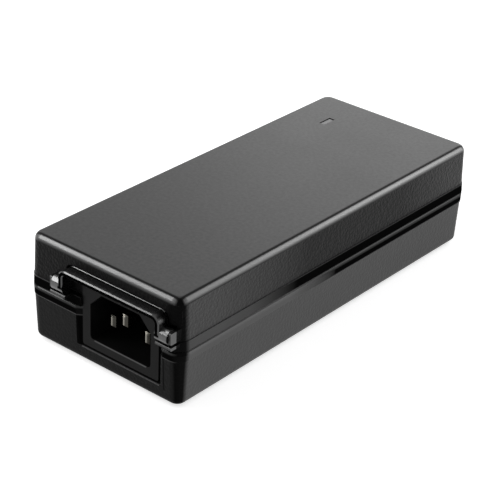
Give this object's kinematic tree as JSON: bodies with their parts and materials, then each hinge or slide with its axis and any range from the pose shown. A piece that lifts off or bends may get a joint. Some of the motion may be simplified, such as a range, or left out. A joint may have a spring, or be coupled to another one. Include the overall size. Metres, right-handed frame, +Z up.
{
  "type": "poe injector",
  "caption": "Slim black desktop power-over-Ethernet injector with a mains inlet and folding cord bail at one end and network jacks at the other.",
  "frame": {"origin": "on the surface it stands on, under the middle of the whole object, bail included", "axes": "+Z up, +Y along the case towards the network jacks, so the mains inlet and bail are at -Y, +X to the right seen from the inlet end"},
  "size_m": [0.0624, 0.1514, 0.0373],
  "materials": {
    "case_plastic": "satin grained moulding",
    "bail_plastic": "polished moulding",
    "window_plastic": "smoked clear moulding",
    "rubber": "matte",
    "inlet_plastic": "satin moulding",
    "pin_brass": "nickel plated, bright",
    "board_laminate": "solder mask",
    "screw_steel": "zinc plated",
    "jack_plastic": "moulded",
    "shield_steel": "tinned sheet",
    "contact_gold": "gold plated",
    "component_plastic": "moulded epoxy",
    "film_plastic": "moulded box",
    "ferrite": "sintered",
    "copper_wire": "enamelled",
    "ceramic_blue": "dipped",
    "can_aluminium": "sleeved can",
    "sink_aluminium": "plain sheet",
    "coil_tape": "taped",
    "led_resin": "diffused resin"
  },
  "bodies": {
    "case": {"bottom_case": "case_plastic", "top_cover": "case_plastic", "light_pipe": "window_plastic", "rubber_feet": "rubber", "inlet_housing": "inlet_plastic", "inlet_line_pins": "pin_brass", "inlet_earth_pin": "pin_brass", "circuit_board": "board_laminate", "board_screws": "screw_steel", "data_jack_housing": "jack_plastic", "data_jack_shield": "shield_steel", "data_jack_contacts": "contact_gold", "power_jack_housing": "jack_plastic", "power_jack_shield": "shield_steel", "power_jack_contacts": "contact_gold", "fuse": "component_plastic", "film_capacitor": "film_plastic", "choke_core": "ferrite", "choke_windings": "copper_wire", "bridge_rectifier": "component_plastic", "disc_capacitor": "ceramic_blue", "bulk_capacitor": "can_aluminium", "primary_heat_sink": "sink_aluminium", "secondary_heat_sink": "sink_aluminium", "switching_transistor": "component_plastic", "output_rectifier": "component_plastic", "transformer_core": "ferrite", "transformer_coil": "coil_tape", "output_capacitors": "can_aluminium", "line_magnetics": "component_plastic", "power_controller": "component_plastic", "led_spacer": "component_plastic", "status_led": "led_resin"},
    "bail": {"cord_bail": "bail_plastic"}
  },
  "joints": [
    {"name": "bail_hinge", "type": "hinge", "parent": "case", "child": "bail", "pos_m": [0.0056, -0.07328, 0.0258], "axis": [1, 0, 0], "range_deg": [0, 90]}
  ]
}
